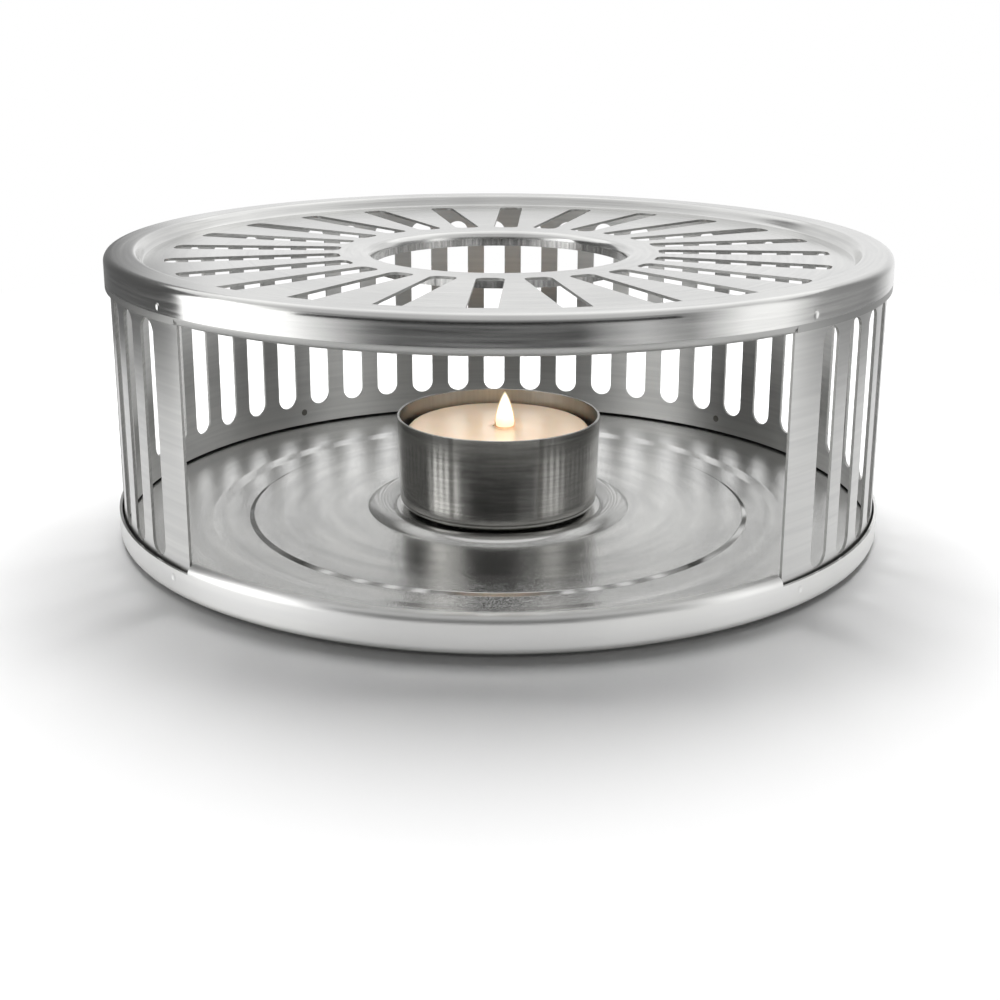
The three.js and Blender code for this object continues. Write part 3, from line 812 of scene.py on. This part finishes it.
tree.links.new(mixed.outputs[0], output.inputs["Surface"])
dress(floor, material)

# Studio. White all round for what is seen and mirrored. One broad soft box above and behind throws the
# shadow forwards. A ring of dark and light panels, a black card in front of it and a ceiling over the
# table are there only for the metal to mirror.
SKY_FILL = 0.035

world = bpy.data.worlds.new("white studio")
bpy.context.scene.world = world
world.use_nodes = True
tree = world.node_tree
tree.nodes.clear()
level = add(tree, "MapRange", {0: seen_rays(tree)[0], 1: 0, 2: 1, 3: SKY_FILL, 4: 1}).outputs[0]
sky = add(tree, "Background", {"Color": linear("#FFFFFF"), "Strength": level})
tree.links.new(sky.outputs[0], add(tree, "OutputWorld").inputs["Surface"])


def soft_box(name, place, target, width, height, power):
    """A rectangular soft light that looks at a point and isn't mirrored. Metres and watts."""
    lamp = bpy.data.lights.new(name, "AREA")
    lamp.shape = "RECTANGLE"
    lamp.size, lamp.size_y = width, height
    lamp.energy = power
    holder = bpy.data.objects.new(name, lamp)
    bpy.context.scene.collection.objects.link(holder)
    holder.location = place
    holder.rotation_euler = (Vector(target) - Vector(place)).to_track_quat("-Z", "Y").to_euler()
    holder.visible_glossy = False


soft_box(
    "back_box", place=(0, 0.388, 0.76), target=(0, 0, 0), width=0.88, height=0.585, power=14.5,
)

# Panels as azimuth from the front, right is positive, and brightness. In front, their upper part is
# one even grey.
PANELS = [
    (-150, 1), (-145, 0.6), (-141, 0.27), (-120, 0.14), (-78.5, 0.1), (-76.5, 2.5), (-62, 2.3),
    (-43, 1.75), (-25, 0.23), (-19, 0.07), (20, 0.07), (25, 0.42), (34, 0.75), (45, 0.35),
    (60, 1.4), (72, 1.3), (84, 0.4), (112, 0.33), (130, 1),
]
PANEL_R, PANEL_LOW, PANEL_H = 200, 0.5, 175
PANEL_START, PANEL_SWEEP = -150, 298
PANEL_PEAK = 2.5
UPPER_TONE = 0.3
UPPER_FROM, UPPER_TO = 95, 125
FRONT_FROM, FRONT_TO = -80, -150
panels = spun("panels", [(PANEL_R, PANEL_LOW), (PANEL_R, PANEL_H)], PANEL_START, PANEL_SWEEP)
material, tree, output = new_material("studio panels")
place = add(tree, "TexCoord").outputs["Object"]
turned = add(tree, "Mapping", {"Vector": place, "Rotation": (0, 0, math.pi / 2)}).outputs[0]
bearing = add(tree, "TexGradient", {"Vector": turned}, gradient_type="RADIAL").outputs["Fac"]
ramp = add(tree, "ValToRGB", {0: bearing})
while len(ramp.color_ramp.elements) < len(PANELS):
    ramp.color_ramp.elements.new(0.5)
for element, (angle, bright) in zip(ramp.color_ramp.elements, PANELS):
    element.position = angle / 360 + 0.5
    element.color = [bright / PANEL_PEAK] * 3 + [1]
axes = add(tree, "SeparateXYZ", {0: place})
high = add(
    tree, "MapRange", {0: axes.outputs["Z"], 1: UPPER_FROM * MM, 2: UPPER_TO * MM, 3: 0, 4: 1},
).outputs[0]
front = add(
    tree, "MapRange", {0: axes.outputs["Y"], 1: FRONT_FROM * MM, 2: FRONT_TO * MM, 3: 0, 4: 1},
).outputs[0]
lift = add(tree, "Math", {0: high, 1: front}, operation="MULTIPLY").outputs[0]
upper = [UPPER_TONE / PANEL_PEAK] * 3 + [1]
tone = add(tree, "Mix", {0: lift, 6: ramp.outputs["Color"], 7: upper}, data_type="RGBA").outputs[2]
glow = add(tree, "Emission", {"Color": tone, "Strength": PANEL_PEAK})
tree.links.new(glow.outputs[0], output.inputs["Surface"])
dress(panels, material)

# A black card in front of the panels, above their lower edge
CARD_R, CARD_LOW, CARD_HIGH, CARD_HALF = 190, 46, 100, 42
CARD_GLOW = 0.015
card = spun("card", [(CARD_R, CARD_LOW), (CARD_R, CARD_HIGH)], -CARD_HALF, 2 * CARD_HALF)
material, tree, output = new_material("black card")
glow = add(tree, "Emission", {"Color": linear("#FFFFFF"), "Strength": CARD_GLOW})
tree.links.new(glow.outputs[0], output.inputs["Surface"])
dress(card, material)

# Ceiling over the table, dim above the front and lighter towards the back
CEILING_R, CEILING_Z = 140, 300
CEILING_FRONT, CEILING_BACK = -60, 120
CEILING_DIM, CEILING_BRIGHT = 0.72, 1.4
ceiling = spun("ceiling", [(1, CEILING_Z), (CEILING_R, CEILING_Z), (PANEL_R, PANEL_H + 1)])
material, tree, output = new_material("studio ceiling")
place = add(tree, "TexCoord").outputs["Object"]
depth = add(tree, "SeparateXYZ", {0: place}).outputs["Y"]
bright = add(tree, "MapRange", {
    0: depth, 1: CEILING_FRONT * MM, 2: CEILING_BACK * MM, 3: CEILING_DIM, 4: CEILING_BRIGHT,
}).outputs[0]
glow = add(tree, "Emission", {"Color": linear("#FFFFFF"), "Strength": bright})
tree.links.new(glow.outputs[0], output.inputs["Surface"])
dress(ceiling, material)
for mirrored in (panels, card, ceiling):
    mirrored.visible_camera = False
    mirrored.visible_diffuse = False
    mirrored.visible_shadow = False

# Camera. Where the photograph was taken from: close in front, a little to the right, looking down. The
# frame's shift stands for the photograph's crop.
CAMERA_AT = (0.00031, -0.29159, 0.0989)
FOCAL_PX = 1499.9
IMAGE_PX = 1000
SENSOR_MM = 36
AZIMUTH = 0.0447
PITCH = 0.2697
ROLL = 0.0032
SHIFT_UP = -0.08
lens = bpy.data.cameras.new("camera")
lens.sensor_width = SENSOR_MM
lens.lens = FOCAL_PX / IMAGE_PX * SENSOR_MM
lens.shift_y = SHIFT_UP
lens.clip_start = 0.01
camera = bpy.data.objects.new("camera", lens)
bpy.context.scene.collection.objects.link(camera)
spot = Matrix.Rotation(AZIMUTH, 4, "Z") @ Vector(CAMERA_AT)
aim = Matrix.Rotation(AZIMUTH, 4, "Z") @ Matrix.Rotation(math.pi / 2 - PITCH, 4, "X")
camera.matrix_world = Matrix.Translation(spot) @ aim @ Matrix.Rotation(ROLL, 4, "Z")
bpy.context.scene.camera = camera
bpy.context.scene.view_settings.view_transform = "Standard"
